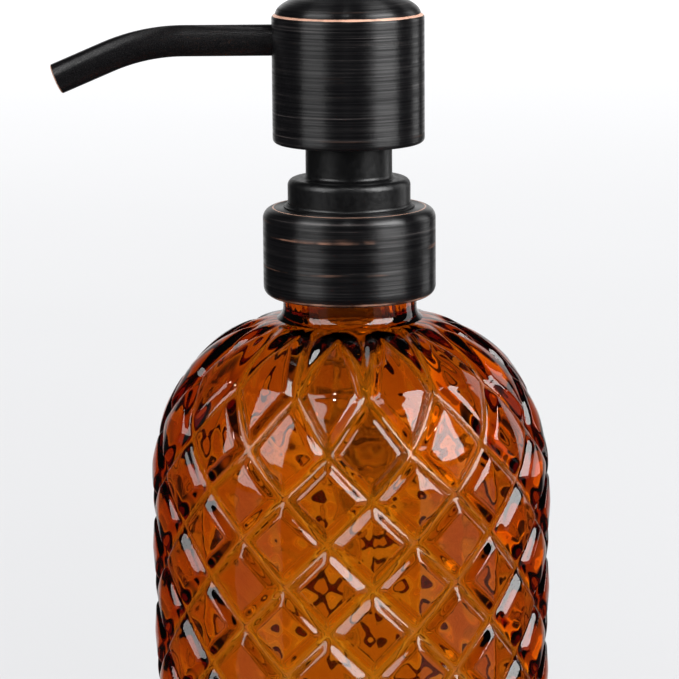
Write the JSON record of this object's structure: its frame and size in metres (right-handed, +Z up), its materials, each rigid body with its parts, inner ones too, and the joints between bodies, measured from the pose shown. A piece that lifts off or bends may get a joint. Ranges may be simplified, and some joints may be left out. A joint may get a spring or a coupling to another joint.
{
  "type": "soap pump dispenser",
  "caption": "Refillable soap dispenser: amber pressed-glass bottle with a diamond relief, screw collar, press pump with a bent spout and working valves.",
  "frame": {"origin": "centre of the bottle's foot, on the plane of the ring it stands on", "axes": "+Z up along the pump's axis, the spout points along -X, +X away from the spout"},
  "size_m": [0.0981, 0.0798, 0.2044],
  "materials": {
    "amber_glass": "clear amber pressed glass",
    "bronze_metal": "dark oil-rubbed bronze, brushed round the axis, copper worn through at the edges",
    "black_plastic": "satin black moulded plastic",
    "natural_plastic": "translucent natural plastic",
    "gasket_foam": "white closed-cell foam",
    "soft_seal": "grey elastomer",
    "bright_steel": "bright stainless steel"
  },
  "bodies": {
    "bottle": {"glass_bottle": "amber_glass"},
    "pump_unit": {"neck_gasket": "gasket_foam", "guide_cap": "black_plastic", "stem_wiper": "soft_seal", "pump_housing": "natural_plastic", "ball_cage": "natural_plastic", "return_spring": "bright_steel", "dip_tube": "natural_plastic"},
    "collar": {"collar_shell": "bronze_metal", "collar_insert": "black_plastic"},
    "piston": {"piston_seal": "natural_plastic"},
    "head": {"piston_core": "natural_plastic", "stem": "natural_plastic", "outlet_cage": "natural_plastic", "head_insert": "black_plastic", "head_shell": "bronze_metal", "spout_tube": "bronze_metal", "spout_seal": "soft_seal"},
    "inlet_valve": {"inlet_ball": "bright_steel"},
    "outlet_valve": {"outlet_ball": "bright_steel"}
  },
  "joints": [
    {"name": "pump_lift", "type": "slide", "parent": "bottle", "child": "pump_unit", "axis": [0, 0, 1], "range_m": [0, 0.154]},
    {"name": "collar_turn", "type": "hinge", "parent": "pump_unit", "child": "collar", "pos_m": [0, 0, 0.15], "axis": [0, 0, 1], "range_deg": [0, 13050]},
    {"name": "head_press", "type": "slide", "parent": "pump_unit", "child": "piston", "axis": [0, 0, -1], "range_m": [0, 0.012], "stiffness_N_per_m": 700, "springref_m": -0.008, "deforming": ["return_spring"]},
    {"name": "head_turn", "type": "hinge", "parent": "piston", "child": "head", "pos_m": [0, 0, 0.18], "axis": [0, 0, 1], "continuous": true},
    {"name": "inlet_ball_lift", "type": "slide", "parent": "pump_unit", "child": "inlet_valve", "axis": [0, 0, 1], "range_m": [0, 0.0015]},
    {"name": "outlet_ball_lift", "type": "slide", "parent": "head", "child": "outlet_valve", "axis": [0, 0, 1], "range_m": [0, 0.0012]}
  ],
  "couplings": [
    {"joint": "pump_lift", "follows": "collar_turn", "m_per_rad": 0.00067375}
  ]
}
